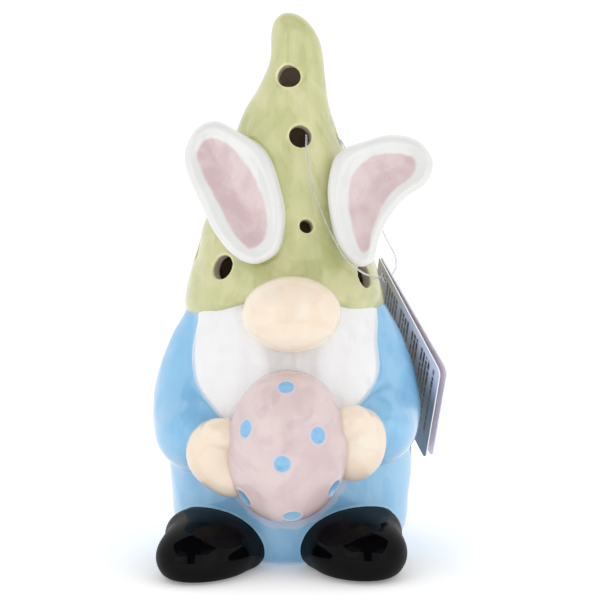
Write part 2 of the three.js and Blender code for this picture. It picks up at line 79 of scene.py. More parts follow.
def make_camera():
    data = bpy.data.cameras.new("camera")
    data.lens = CAMERA_LENS
    data.sensor_width = CAMERA_SENSOR
    camera = add_object("camera", data)
    camera.location = row_point(CAMERA_AT)
    aim = row_point(CAMERA_AIM) - camera.location
    camera.rotation_euler = aim.to_track_quat("-Z", "Y").to_euler()
    bpy.context.scene.camera = camera


# ---- Node helpers ----
class Nodes:
    """Builds one material's node tree. An input is a value, or another node's output to link."""

    def __init__(self, name):
        self.material = bpy.data.materials.new(name)
        self.material.use_nodes = True
        self.tree = self.material.node_tree
        self.tree.nodes.clear()

    def add(self, kind, inputs=None, **settings):
        node = self.tree.nodes.new("ShaderNode" + kind)
        for key, value in settings.items():
            setattr(node, key, value)
        for key, value in (inputs or {}).items():
            if isinstance(value, bpy.types.NodeSocket):
                self.tree.links.new(value, node.inputs[key])
            else:
                node.inputs[key].default_value = value
        return node

    def attribute(self, name):
        return self.add("Attribute", attribute_name=name).outputs["Fac"]

    def place(self, scale=(1, 1, 1), turn=(0, 0, 0)):
        """Object coordinates, scaled and turned in degrees."""
        where = self.add("TexCoord").outputs["Object"]
        turns = tuple(math.radians(t) for t in turn)
        settings = {"Vector": where, "Scale": scale, "Rotation": turns}
        return self.add("Mapping", settings).outputs["Vector"]

    def noise(self, size_mm, where=None, detail=2.0, distortion=0.0):
        if where is None:
            where = self.place()
        settings = {"Vector": where, "Scale": 1 / (size_mm * MM), "Detail": detail, "Distortion": distortion}
        return self.add("TexNoise", settings).outputs["Fac"]

    def ramp(self, value, low, high, to=(0.0, 1.0)):
        """value from low..high to the range to, smoothly and clamped."""
        settings = {"Value": value, 1: low, 2: high, 3: to[0], 4: to[1]}
        return self.add("MapRange", settings, interpolation_type="SMOOTHSTEP").outputs[0]

    def mix(self, share, under, over):
        """The colour under, with a share of the colour over it."""
        return self.add("Mix", {0: share, 6: under, 7: over}, data_type="RGBA").outputs[2]

    def along(self, direction, origin):
        """Distance in mm from origin along a unit direction; both are in the row frame at rest."""
        where = self.add("TexCoord").outputs["Object"]
        inputs = {0: where, 1: tuple(direction)}
        share = self.add("VectorMath", inputs, operation="DOT_PRODUCT").outputs["Value"]
        start = float(np.dot(direction, origin))
        return self.math("MULTIPLY_ADD", share, 1 / MM, -start)

    def facing(self, direction):
        """1 on faces that look along direction at rest, 0 on edges, -1 on faces that look back."""
        normal = self.add("TexCoord").outputs["Normal"]
        inputs = {0: normal, 1: tuple(direction)}
        return self.add("VectorMath", inputs, operation="DOT_PRODUCT").outputs["Value"]

    def math(self, operation, a, b=0.0, c=0.0):
        return self.add("Math", {0: a, 1: b, 2: c}, operation=operation).outputs[0]

    def bump(self, height, distance_mm, strength):
        settings = {"Height": height, "Distance": distance_mm * MM, "Strength": strength}
        return self.add("Bump", settings).outputs["Normal"]

    def finish(self, **inputs):
        """The material, with these inputs on its one shader, such as base_color for Base Color."""
        names = {key: key.replace("_", " ").title().replace("Ior", "IOR") for key in inputs}
        shader = self.add("BsdfPrincipled", {names[k]: v for k, v in inputs.items()})
        output = self.tree.nodes.new("ShaderNodeOutputMaterial")
        self.tree.links.new(shader.outputs[0], output.inputs[0])
        return self.material


def colour(r, g, b):
    """A display colour, 0 to 255, as the linear colour the shader takes."""
    def linear(value):
        value /= 255
        return value / 12.92 if value <= 0.04045 else ((value + 0.055) / 1.055) ** 2.4

    return (linear(r), linear(g), linear(b), 1.0)


# ---- Thread loop that carries the card ----
THREAD_R = 0.35
THREAD_STEPS = 8
# From inside the hat, out of its second hole and down the ear to the card
THREAD_DOWN = [
    (8.6, -8, 152.4), (7.2, -13, 155.6), (7.4, -17.8, 155.4), (7.5, -20, 150), (9.6, -23.4, 138),
    (13.6, -28.4, 127), (17.4, -35, 119.6), (21.6, -38.6, 112.9), (26.6, -37.4, 108.6), (32.6, -20, 104.6),
    (35.6, 4, 101.6),
]
# Through the card's hole: places along the card's axes from its corner
THREAD_AT_CARD = [(5.5, 5.5, -2.2), (5.5, 5.5, 1.2), (5.3, 5.2, 3.6), (4.2, 3.4, 5.4), (2, 0, 6)]
# From the card back up behind the ear, into the hat
THREAD_UP = [
    (38, 12.4, 115), (33, 8.4, 126), (23, 1.4, 148), (19.4, -1, 153.6), (14, -3.6, 153.6),
    (9.2, -5.6, 151.6),
]
CARD_CORNER = np.array([35.3, 17, 107.5])
CARD_DOWN = np.array([21.1, -36.7, -38.3])
CARD_FOLD = np.array([-2.9, 40.3, -40.2])


def card_axes():
    """Unit vectors down the card's forward edge, along its fold, and away from the figure."""
    down = CARD_DOWN / np.linalg.norm(CARD_DOWN)
    away = np.cross(down, CARD_FOLD)
    away /= np.linalg.norm(away)
    return down, np.cross(away, down), away


def smooth_line(points, steps):
    """A centripetal Catmull-Rom line through points."""
    points = np.array(points, float)
    ends = [2 * points[0] - points[1]], [2 * points[-1] - points[-2]]
    p = np.concatenate([ends[0], points, ends[1]])
    t = np.concatenate([[0], np.cumsum(np.linalg.norm(np.diff(p, axis=0), axis=1) ** 0.5)])
    made = []
    for i in range(1, len(p) - 2):
        u = np.linspace(t[i], t[i + 1], steps, endpoint=False)[:, None]
        def between(a, b, ta, tb):
            return (tb - u) / (tb - ta) * a + (u - ta) / (tb - ta) * b
        a = [between(p[j], p[j + 1], t[j], t[j + 1]) for j in (i - 1, i, i + 1)]
        b = [between(a[j], a[j + 1], t[i - 1 + j], t[i + 1 + j]) for j in (0, 1)]
        made.append(between(b[0], b[1], t[i], t[i + 1]))
    return np.concatenate(made + [points[-1:]])


def thread_material():
    n = Nodes("thread")
    milky = n.ramp(n.noise(2.5, detail=1), 0.4, 0.7)
    tint = n.mix(milky, colour(232, 240, 240), colour(252, 253, 255))
    return n.finish(base_color=tint, roughness=0.15, ior=1.53, transmission_weight=0.75)


def make_thread():
    axes = np.array(card_axes())
    at_card = [CARD_CORNER + np.array(point) @ axes for point in THREAD_AT_CARD]
    line = smooth_line([*THREAD_DOWN, *at_card, *THREAD_UP], THREAD_STEPS)
    curve = bpy.data.curves.new("tag_thread", "CURVE")
    curve.dimensions = "3D"
    curve.bevel_depth = THREAD_R * MM
    curve.bevel_resolution = 3
    curve.use_fill_caps = True
    spline = curve.splines.new("POLY")
    spline.points.add(len(line) - 1)
    for point, where in zip(spline.points, line):
        point.co = (*row_point(where), 1)
    spline.use_smooth = True
    thread = add_object("tag_thread", curve)
    curve.materials.append(thread_material())
    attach(thread, "figure")
    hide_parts("tag_loop")


# ---- Distance functions, in millimetres: negative inside ----
def clamp(value, low=0.0, high=1.0):
    return np.minimum(np.maximum(value, low), high)


def step(value, low, high):
    """0 at low to 1 at high, smoothly."""
    t = clamp((value - low) / (high - low))
    return t * t * (3 - 2 * t)


def join(a, b, fillet):
    """The union of two forms, with the corner between them filled."""
    h = np.maximum(fillet - np.abs(a - b), 0) / fillet
    return np.minimum(a, b) - h * h * h * fillet / 6


def cut(a, b, rounding):
    """What is left of form a outside form b, with a rounded edge."""
    return -join(-a, b, rounding)


def ball(p, at, half, tilt=0.0):
    """An egg-shaped ball; tilt turns it about Y, in degrees."""
    x, y, z = (q - c for q, c in zip(p, at))
    if tilt:
        s, c = math.sin(math.radians(tilt)), math.cos(math.radians(tilt))
        x, z = c * x - s * z, s * x + c * z
    a, b, c = half
    near = np.sqrt((x / a) ** 2 + (y / b) ** 2 + (z / c) ** 2)
    slope = np.sqrt((x / a**2) ** 2 + (y / b**2) ** 2 + (z / c**2) ** 2) + 1e-6
    return near * (near - 1) / slope


def blurred(values, cell, blur, reach):
    """Values at even steps of cell, blurred, with reach steps counted on each side."""
    kernel = np.exp(-((np.arange(-reach, reach + 1) * cell / blur) ** 2))
    kernel /= kernel.sum()
    tail = np.pad(values, reach, mode="reflect", reflect_type="odd")
    return np.convolve(tail, kernel, mode="valid")


class Turned:
    """A round form that swells and leans with height, from rows [z, half width, centre X, depth share]."""

    MARGIN = 12
    STEP = 0.25
    REACH = 24  # of the blur, in steps

    def __init__(self, rows, blur):
        rows = np.array(rows, float)
        columns = np.column_stack([rows[:, 1] ** 2 * np.sign(rows[:, 1]), rows[:, 2], rows[:, 3]])
        self.z = np.arange(rows[0, 0] - self.MARGIN, rows[-1, 0] + self.MARGIN, self.STEP)
        slopes = np.gradient(columns, rows[:, 0], axis=0, edge_order=1)
        self.columns = np.empty((len(self.z), 3))
        for k in range(3):
            self.columns[:, k] = self.hermite(self.z, rows[:, 0], columns[:, k], slopes[:, k])
        for k in range(3):
            self.columns[:, k] = blurred(self.columns[:, k], self.STEP, blur, self.REACH)
        self.slopes = np.gradient(self.columns, self.z, axis=0)

    @staticmethod
    def hermite(z, knots, values, slopes):
        i = np.clip(np.searchsorted(knots, z) - 1, 0, len(knots) - 2)
        span = knots[i + 1] - knots[i]
        t = (z - knots[i]) / span
        u = clamp(t)
        curve = (values[i] * (1 + 2 * u) * (1 - u) ** 2 + values[i + 1] * u * u * (3 - 2 * u)
                 + span * u * (1 - u) * (slopes[i] * (1 - u) - slopes[i + 1] * u))
        beyond = (t - u) * span
        return curve + beyond * np.where(t > 1, slopes[i + 1], slopes[i])

    def at(self, z, k):
        return np.interp(z, self.z, self.columns[:, k])

    def distance(self, x, y, z):
        square, middle, depth = (self.at(z, k) for k in range(3))
        rise = np.interp(z, self.z, self.slopes[:, 0])
        lean = np.interp(z, self.z, self.slopes[:, 1])
        x = x - middle
        form = x * x + (y / depth) ** 2 - square
        slope2 = 4 * x * x + 4 * y * y / depth**4 + (rise + 2 * x * lean) ** 2
        return 2 * form / (np.sqrt(slope2) + np.sqrt(np.maximum(slope2 - 4 * form, 1e-3)))


class Outline:
    """Distance, seen from the front, from a closed smooth outline through points (x, z)."""

    CELL = 0.25
    MARGIN = 14
    STEPS = 12

    def __init__(self, points, blur):
        line = self.closed_line(np.array(points, float), self.STEPS)
        self.low = line.min(0) - self.MARGIN
        size = np.ceil((line.max(0) + self.MARGIN - self.low) / self.CELL).astype(int)
        x = self.low[0] + np.arange(size[0]) * self.CELL
        z = self.low[1] + np.arange(size[1]) * self.CELL
        gx, gz = np.meshgrid(x, z, indexing="ij")
        nearest = np.full(gx.shape, 1e9)
        inside = np.zeros(gx.shape, bool)
        for a, b in zip(line, np.roll(line, -1, axis=0)):
            edge = b - a
            t = clamp(((gx - a[0]) * edge[0] + (gz - a[1]) * edge[1]) / (edge @ edge))
            near = (gx - a[0] - t * edge[0]) ** 2 + (gz - a[1] - t * edge[1]) ** 2
            nearest = np.minimum(nearest, near)
            crosses = (a[1] > gz) != (b[1] > gz)
            with np.errstate(divide="ignore", invalid="ignore"):
                side = gx < a[0] + (gz - a[1]) * edge[0] / edge[1]
            inside ^= crosses & side
        self.field = np.where(inside, -1, 1) * np.sqrt(nearest)
        reach = int(3 * blur / self.CELL)
        for axis in (0, 1):
            self.field = np.apply_along_axis(blurred, axis, self.field, self.CELL, blur, reach)

    @staticmethod
    def closed_line(points, steps):
        """A centripetal Catmull-Rom line round the points."""
        wide = np.concatenate([points[-3:], points, points[:3]])
        line = smooth_line(wide, steps)
        return line[3 * steps: (3 + len(points)) * steps]

    def at(self, x, z):
        u = clamp((x - self.low[0]) / self.CELL, 0, self.field.shape[0] - 1.001)
        v = clamp((z - self.low[1]) / self.CELL, 0, self.field.shape[1] - 1.001)
        u, v = np.broadcast_arrays(u, v)
        i, j = u.astype(int), v.astype(int)
        s, t = u - i, v - j
        f = self.field
        return ((f[i, j] * (1 - s) + f[i + 1, j] * s) * (1 - t)
                + (f[i, j + 1] * (1 - s) + f[i + 1, j + 1] * s) * t)


# ---- The figure's members ----
WALL = 4.2
FLOOR_TOP = 6
CAVITY_TOP = 189
CAVITY_FILLET = 3
CAVITY_EDGE = 0.8
BASE_HOLE_R = 22.4
FLANGE_POCKET = (26.2, 2.8)  # radius and depth
TORSO_TOP = 97
FOOT_ROUND = 10
TORSO = Turned([
    (0, 39.4, 1.7, 0.87), (8, 43.0, 1.7, 0.87), (20, 44.4, 1.7, 0.87), (40, 45.4, 1.7, 0.87),
    (60, 43.6, 1.2, 0.88), (80, 39, 0.2, 0.92), (95.5, 34.6, -0.6, 0.95), (104, 30, -0.6, 0.95),
], blur=3)
BRIM_LOW = 89
BRIM_ROUND = 5
HAT_HOLLOW_LOW = 90
HAT = Turned([
    (84, 34.6, -0.8, 0.99), (89, 36.4, -0.8, 0.99), (93, 37.2, -0.8, 0.99), (97, 36.6, -0.8, 0.98),
    (112, 32.8, -0.7, 0.96), (130, 27.2, -0.4, 0.93), (143, 23, 0.2, 0.91), (152, 20.3, 0.5, 0.9),
    (161, 17.1, 0.4, 0.88), (168, 14.5, 1.2, 0.86), (175, 11.9, 2.9, 0.86), (183, 9.8, 4.2, 0.86),
    (190, 9, 3.4, 0.88), (194.5, 7.6, 2.4, 0.9), (197.5, 5.6, 1.8, 0.9), (199.9, 0, 1.2, 0.9),
], blur=1.5)
# The brim rises over the nose, and a little towards the front and the right
NOSE_LIFT = 9.5
NOSE_LIFT_PEAK = 18  # before it is cut off flat at NOSE_LIFT
NOSE_LIFT_SPREAD = (17.5, 14)  # left and right of the nose
NOSE_LIFT_FRONT = (8, 26)
FRONT_LIFT = 2.4
RIGHT_LIFT = 0.9
LIFT_REACH = 30
LIFT_TOP = 112
LIFT_FADE = 20
# Folds down the front of the hat's tip: middle X, width, lowest, highest, and depth, negative for a ridge
TIP_FOLDS = [(4.8, 3.0, 168, 196, 1.0), (-0.2, 2.6, 166, 198, -0.8)]
TIP_FADE_LOW = 12
TIP_FADE_HIGH = 8
TIP_FADE_BACK = 4
HOLE_EDGE = 1.3
HOLE_DEPTH = 2.2 * WALL  # each way from the hat's skin
# Turn from the front towards +X in degrees, height, radius
LIGHT_HOLES = [
    (-13, 177.2, 4.1), (15.4, 155.7, 4.1), (16, 123.8, 2.5), (-42, 108.7, 4.5), (58.6, 104.8, 4.5),
    (86, 154.5, 4.1), (-86, 112.5, 4.1), (180, 166, 4.1), (164, 132, 4.1), (-148, 112, 4.5), (134, 110, 4.5),
]
EGG = {"at": (0.3, -44.6, 46.4), "half": (22.2, 20.9, 27.5), "tilt": 3}
# Cups pressed into the egg: centre seen from the front (x, z), and half sizes across and up
EGG_CUPS = [
    (0, 69.8, 3.1, 2.9), (-14.4, 55.5, 2.9, 3.5), (11.2, 53.6, 3.1, 3.3), (-1.4, 44.1, 3.2, 3.2),
    (-14.9, 29.4, 3.1, 3.5), (17.2, 32.8, 3.1, 3.5), (2.1, 23.4, 3.5, 3.1),
]
# The painted highlight, a pale lilac band, on the coat round the egg
HIGHLIGHT_DROP = 1.8
HIGHLIGHT_WIDTH = 2.8
HIGHLIGHT_FRONT = (10, 20)
# A cup's depth, and in shares of its half size its wall and the lip round it; the lip's height in mm
CUP_DEPTH = 0.55
CUP_WALL = (-1.0, -0.35)
LIP_AT = 1.12
LIP_WIDTH = 0.16
LIP_HEIGHT = 0.22
NOSE = {"at": (2, -43, 93.8), "half": (17.7, 14, 13.6)}
EAR_LEFT = Outline([
    (-37, 148), (-33.4, 158.4), (-26.2, 161.6), (-18, 158.2), (-7.6, 151), (-2.6, 139), (-0.6, 126),
    (-3.2, 115.6), (-10.6, 111.6), (-18.6, 114.4), (-25.4, 122), (-30.6, 132),
], blur=1.2)
EAR_LEFT_DISH = Outline([
    (-32.2, 150.4), (-28.8, 155.4), (-22.8, 154.6), (-14.8, 147), (-8.8, 136), (-6.8, 126.6),
    (-8.6, 119.6), (-13, 117.4), (-18.4, 122.4), (-25, 134), (-30.4, 144),
], blur=1.0)
EAR_RIGHT = Outline([
    (26.4, 110.6), (19.2, 117.6), (15.6, 128.6), (15.2, 140), (19, 150.4), (28, 154.4), (38.8, 156.6),
    (48.4, 154.4), (53.6, 147.4), (51.6, 140), (43.6, 134.4), (37.2, 127.4), (33.4, 119.4), (31, 112),
], blur=1.2)
EAR_RIGHT_DISH = Outline([
    (27.6, 115.4), (24.2, 123.6), (22.6, 133.4), (24, 142.2), (30.4, 148.8), (39.4, 150.2), (46.8, 148),
    (46, 142.4), (39.6, 137.8), (34.2, 131), (30.8, 122.6), (29.4, 116.8),
], blur=1.0)
# Edge, dish, and side: -1 for the left
EARS = {
    "ear_left": (EAR_LEFT, EAR_LEFT_DISH, -1),
    "ear_right": (EAR_RIGHT, EAR_RIGHT_DISH, 1),
}
EAR_THICK = 8
EAR_ROUND = 3.3
EAR_DROP = {-1: 0.8, 1: 0.9}  # by side
EAR_STEP = 0.6
EAR_STEP_AT = (-4.8, -3.2)
EAR_DISH = 2.4
EAR_DISH_AT = (-3.2, 8)
EAR_RIM_KEPT = (1.6, 4.6)
EAR_PAINT_EDGE = 1.8
EAR_FRONT = -35.5
EAR_MIDDLE_X = 10
EAR_LEAN_Z = 118
EAR_LEAN = 0.42
EAR_SPLAY = 0.16
EAR_SLANT = 1 / math.sqrt(1 + EAR_LEAN**2 + EAR_SPLAY**2)
BEARD = Outline([
    (-31, 99), (-32, 88), (-33.9, 77), (-32.8, 67), (-28.5, 60), (-21.5, 53), (-12, 48), (0, 45),
    (13, 49), (24, 57), (30.5, 64), (33.6, 70), (33, 80), (31, 99),
], blur=1.5)
BEARD_THICK = 3.4
BEARD_TUCKED = 0.9  # its thickness where the brim covers it
BEARD_TUCK_AT = (74, 97)
BEARD_EDGE = 5
BEARD_BACK = -4
BEARD_LEAST = 1.2  # where it stands out less than this, the coat's colour shows
COMB_DEPTH = 0.25
COMB_PITCH = 0.52
COMB_SPREAD = 0.002
COMB_TOP = 95
COMB_WANDER = 0.8
COMB_WANDER_OVER = (9, 13)  # across and up
COMB_EDGE = (1, 6)
# Sleeves: rows [height, half width, centre X, depth share], and the forearm that reaches forward
SLEEVE_LEFT = Turned([
    (34, 8, -33, 1), (40, 14, -32.5, 1), (48, 16.5, -31.8, 1.05), (56, 17.4, -31.8, 1.05),
    (66, 17, -31, 1), (74, 15.6, -29.8, 1), (82, 13.8, -28, 1), (91, 12, -25, 1), (98, 10, -23, 1),
], blur=2)
SLEEVE_RIGHT = Turned([
    (36, 8, 33, 1), (42, 13.6, 32.6, 1), (49, 16.2, 32.2, 1.05), (57, 17.5, 32.2, 1.05),
    (67, 17, 31.2, 1), (76, 15.4, 29.8, 1), (84, 13.6, 27.8, 1), (93, 11.8, 24.6, 1), (99, 10, 22.8, 1),
], blur=2)
SLEEVE_BACK = 4
FOREARM_LEFT = (-31.2, -17, 46.8)
FOREARM_RIGHT = (31.2, -17, 49.0)
FOREARM_HALF = (16.8, 22, 15)
FOREARM_TILT = 8
ELBOW_FILLET = 12
# Balls of the hands: centre, half sizes, tilt
PALM_LEFT = ((-24.6, -41, 43.4), (11.3, 9.8, 12.6), 0)
FINGERS_LEFT = ((-18.8, -41.6, 35.2), (8.4, 8.8, 7.4), -24)
THUMB_LEFT = ((-21.8, -46, 50.6), (8.6, 7, 5.8), 20)
PALM_RIGHT = ((25.0, -40.6, 46.6), (11.0, 9.8, 13.7), 11)
THUMB_RIGHT = ((22.6, -45.6, 54.8), (8.4, 7.2, 6.4), -20)
FINGERS_FILLET = 7
THUMB_FILLET = 3.2
# Balls of a shoe: [centre Y, height, half sizes]
TOE = (-42, 7.6, (18.4, 22, 12.8))
ANKLE = (-25, 8, (14.6, 16, 10.6))
INSTEP = (-33, 6, (9.4, 11, 8.4))
ANKLE_TILT = -22
ANKLE_FILLET = 14
INSTEP_FILLET = 5
SOLE_ROUND = 3
SHOE_LEFT = {"toe_x": -28.2, "ankle_x": -30, "instep_x": -17.4, "lift": 0.0, "splay": 0.4}
SHOE_RIGHT = {"toe_x": 25, "ankle_x": 28, "instep_x": 14.6, "lift": 0.8, "splay": 0.28}


def wobble(x, y, z):
    """The slow unevenness of hand-finished clay."""
    waves = (np.sin(0.21 * x + 0.13 * z + 0.7) * np.sin(0.17 * y - 0.11 * z + 1.9)
             + 0.6 * np.sin(0.37 * z + 0.19 * x + 0.4) * np.sin(0.33 * x - 0.23 * y + 2.2))
    return 0.2 * waves


def coat_form(x, y, z, uneven):
    side = TORSO.distance(x, y, z) + uneven
    return np.maximum(-join(-side, z, FOOT_ROUND), z - TORSO_TOP)


def hat_height(x, y, z):
    """Undoes the lift of the brim's lower edge."""
    off_nose = x - NOSE["at"][0]
    spread = np.where(off_nose < 0, *NOSE_LIFT_SPREAD)
    over_nose = np.minimum(NOSE_LIFT_PEAK * np.exp(-((off_nose / spread) ** 2)), NOSE_LIFT)
    over_nose = over_nose * step(-y, *NOSE_LIFT_FRONT)
    lift = FRONT_LIFT * clamp(-y / LIFT_REACH) + RIGHT_LIFT * clamp(x / LIFT_REACH) + over_nose
    return z - lift * clamp((LIFT_TOP - z) / LIFT_FADE)


def tip_fold(x, y, z, middle, width, low, high):
    """1 along the middle of a fold in the front of the hat's tip, fading out at its sides and ends."""
    across = np.exp(-(((x - middle) / width) ** 2))
    along = step(z, low, low + TIP_FADE_LOW) * step(high - z, 0, TIP_FADE_HIGH)
    return across * along * step(-y, 0, TIP_FADE_BACK)


def hat_form(x, y, z):
    level = hat_height(x, y, z)
    side = HAT.distance(x, y, level)
    for *fold, depth in TIP_FOLDS:
        side = side + depth * tip_fold(x, y, z, *fold)
    return -join(-side, level - BRIM_LOW, BRIM_ROUND)


def light_hole(p, turn, height, radius):
    """A hole through the hat's wall, square to its surface."""
    reach = 2
    half = math.sqrt(HAT.at(height, 0))
    slope = (math.sqrt(HAT.at(height + reach, 0)) - math.sqrt(HAT.at(height - reach, 0))) / (2 * reach)
    angle = math.radians(turn)
    out = np.array([math.sin(angle), -math.cos(angle), -slope])
    out /= np.linalg.norm(out)
    mouth = (HAT.at(height, 1) + half * math.sin(angle), -half * HAT.at(height, 2) * math.cos(angle), height)
    q = [a - b for a, b in zip(p, mouth)]
    along = sum(a * b for a, b in zip(q, out))
    across = np.sqrt(np.maximum(sum(a * a for a in q) - along * along, 0))
    return np.maximum(across - radius, np.abs(along) - HOLE_DEPTH)


def ear_across(p, side):
    """Distance behind the middle of the ear's thickness."""
    x, y, z = p
    front = EAR_FRONT + (z - EAR_LEAN_Z) * EAR_LEAN + np.abs(x - EAR_MIDDLE_X * side) * EAR_SPLAY
    return (y - front - EAR_THICK / 2) * EAR_SLANT


def ear_form(p, edge, dish, side):
    """A leaning slab with round edges, dished in front inside a raised rim."""
    x, _, z = p
    rim = edge.at(x, z + EAR_DROP[side])
    hollow = dish.at(x, z + EAR_DROP[side])
    depth = EAR_STEP * step(-hollow, *EAR_STEP_AT) + EAR_DISH * step(-hollow, *EAR_DISH_AT)
    depth = depth * step(-rim, *EAR_RIM_KEPT)
    across = ear_across(p, side)
    half = EAR_THICK / 2 * EAR_SLANT
    slab = np.maximum(across - half, -across - half + depth)
    a, b = rim + EAR_ROUND, slab + EAR_ROUND
    outside = np.sqrt(np.maximum(a, 0) ** 2 + np.maximum(b, 0) ** 2)
    return outside + np.minimum(np.maximum(a, b), 0) - EAR_ROUND


def beard_form(p, coat):
    """A layer over the coat, thinner under the brim, with combed grooves that wander."""
    x, y, z = p
    edge = BEARD.at(x, z)
    across, up = COMB_WANDER_OVER
    wander = COMB_WANDER * np.sin(z / up + x / across)
    groove = np.sin(x * (COMB_PITCH + COMB_SPREAD * (COMB_TOP - z)) + wander)
    thick = BEARD_THICK + (BEARD_TUCKED - BEARD_THICK) * step(z, *BEARD_TUCK_AT)
    thick = thick + COMB_DEPTH * groove * step(-edge, *COMB_EDGE)
    return np.maximum(-join(-(coat - thick), -edge, BEARD_EDGE), y - BEARD_BACK)


def egg_form(p):
    """The egg, with a shallow cup and a fine raised lip at each spot."""
    x, y, z = p
    skin = ball(p, **EGG)
    for cx, cz, wide, tall in EGG_CUPS:
        r = cup_radius(x, y, z, cx, cz, wide, tall)
        lip = np.exp(-(((r - LIP_AT) / LIP_WIDTH) ** 2))
        skin = skin + CUP_DEPTH * step(-r, *CUP_WALL) - LIP_HEIGHT * lip
    return skin


def egg_front(cx, cz):
    """The point on the egg's front seen at (cx, cz)."""
    (x, y, z), (a, b, c) = EGG["at"], EGG["half"]
    share = 1 - ((cx - x) / a) ** 2 - ((cz - z) / c) ** 2
    return y - b * math.sqrt(max(share, 0.03))


def cup_radius(x, y, z, cx, cz, wide, tall):
    """Distance from a cup's centre over the egg's skin, in its own half sizes."""
    cy = egg_front(cx, cz)
    return np.sqrt((x - cx) ** 2 / wide**2 + (y - cy) ** 2 / wide**2 + (z - cz) ** 2 / tall**2)


def sleeve(p, arm, forearm_at, side):
    x, y, z = p
    upper = np.maximum(arm.distance(x, y + SLEEVE_BACK, z), z - TORSO_TOP)
    forearm = ball(p, forearm_at, FOREARM_HALF, -FOREARM_TILT * side)
    return join(upper, forearm, ELBOW_FILLET)


def hand(p, palm, thumb, fingers=None):
    """A mitten with a thumb, and on the left with fingers that curl under the egg."""
    made = ball(p, *palm)
    if fingers is not None:
        made = join(made, ball(p, *fingers), FINGERS_FILLET)
    return join(made, ball(p, *thumb), THUMB_FILLET)


def shoe(p, side, toe_x, ankle_x, instep_x, lift, splay):
    """A rounded toe that points outward by splay, the ankle behind it and the instep beside it."""
    x, y, z = p

    def lump(q, at_x, y_z_half, tilt=0.0):
        at_y, at_z, half = y_z_half
        return ball(q, (at_x, at_y, at_z + lift), half, tilt)

    turned = (x, y + side * splay * (x - toe_x), z)
    made = join(lump(turned, toe_x, TOE), lump(p, ankle_x, ANKLE, ANKLE_TILT * side), ANKLE_FILLET)
    made = join(made, lump(p, instep_x, INSTEP), INSTEP_FILLET)
    return -join(-made, z, SOLE_ROUND)


def members(p):
    """Distance from each member's own form, before slip and glaze fill the joints."""
    x, y, z = p
    uneven = wobble(x, y, z)
    coat = coat_form(x, y, z, uneven)
    return {
        "coat": coat,
        "beard": beard_form(p, coat),
        "sleeve_left": sleeve(p, SLEEVE_LEFT, FOREARM_LEFT, -1) + uneven,
        "sleeve_right": sleeve(p, SLEEVE_RIGHT, FOREARM_RIGHT, 1) + uneven,
        "hat": hat_form(x, y, z) + uneven,
        "nose": ball(p, **NOSE) + 0.5 * uneven,
        "hand_left": hand(p, PALM_LEFT, THUMB_LEFT, FINGERS_LEFT) + 0.5 * uneven,
        "hand_right": hand(p, PALM_RIGHT, THUMB_RIGHT) + 0.5 * uneven,
        "egg": egg_form(p) + 0.4 * uneven,
        "shoe_left": shoe(p, -1, **SHOE_LEFT),
        "shoe_right": shoe(p, 1, **SHOE_RIGHT),
        "ear_left": ear_form(p, *EARS["ear_left"]) + 0.7 * uneven,
        "ear_right": ear_form(p, *EARS["ear_right"]) + 0.7 * uneven,
    }


# The fillet of slip round each member where it joins those before it
FILLETS = {
    "beard": 3.0, "sleeve_left": 1.6, "sleeve_right": 1.6, "hat": 1.4, "nose": 1.2, "hand_left": 2.0,
    "hand_right": 2.0, "egg": 1.4, "shoe_left": 1.2, "shoe_right": 1.2, "ear_left": 2.2, "ear_right": 2.2,
}


def hollow(p):
    """The space inside the figure, open through the mouth in its base."""
    x, y, z = p
    coat = np.maximum(TORSO.distance(x, y, z) + WALL, np.maximum(FLOOR_TOP - z, z - TORSO_TOP))
    hat = np.maximum(HAT.distance(x, y, z) + WALL, np.maximum(HAT_HOLLOW_LOW - z, z - CAVITY_TOP))
    across = np.sqrt((x - UNIT_X) ** 2 + y * y)
    mouth = np.maximum(across - BASE_HOLE_R, z - FLOOR_TOP - 1)
    pocket = np.maximum(across - FLANGE_POCKET[0], z - FLANGE_POCKET[1])
    return np.minimum(np.minimum(join(coat, hat, CAVITY_FILLET), mouth), pocket)


def whole(p, forms):
    """The glazed figure as one form, walls and light holes included."""
    hat = forms["hat"]
    for hole in LIGHT_HOLES:
        hat = cut(hat, light_hole(p, *hole), HOLE_EDGE)
    made = forms["coat"]
    for name, fillet in FILLETS.items():
        made = join(made, hat if name == "hat" else forms[name], fillet)
    return np.maximum(cut(made, hollow(p), CAVITY_EDGE), -p[2])


def territory(forms, name):
    """Negative where the surface belongs to the named member."""
    forms = dict(forms, beard=np.maximum(forms["beard"], -(forms["coat"] + BEARD_LEAST)))
    own = forms.pop(name)
    return own - reduce(np.minimum, forms.values())


TUCK = 0.3  # how far a member's skin dives under its neighbour's
TUCK_OVER = 0.7  # the distance past the border in which it dives
OVERLAP = 1.2  # how far past the border it ends
END_SLOPE = 0.6


def piece_distance(p, name):
    """One member as a closed form: its own part of the skin, tucked a little under its neighbours'."""
    forms = members(p)
    edge = territory(forms, name)
    skin = whole(p, forms) + TUCK * step(edge, 0, TUCK_OVER)
    return np.maximum(skin, END_SLOPE * (edge - OVERLAP))


# ---- Meshes ----
GRADIENT_REACH = 0.15
LEAST_SLOPE = 0.3
BOX_MARGIN = 3
RELAX_SHARE = 0.5
BEND_REACH = 0.8


def closed_surface(distance, low, high, cell):
    """Points and quads of the surface where distance is 0."""
    axes = [np.arange(a - 2 * cell, b + 3 * cell, cell) for a, b in zip(low, high)]
    x, y, z = np.meshgrid(*axes, indexing="ij", sparse=True)
    field = distance((x, y, z))
    field = np.ascontiguousarray(clamp(field, -3 * cell, 3 * cell), dtype=np.float32)
    grid = openvdb.FloatGrid(3 * cell)
    grid.copyFromArray(field)
    points, quads = grid.convertToQuads(0.0)
    return np.asarray(points, float) * cell + [a[0] for a in axes], np.asarray(quads, int)


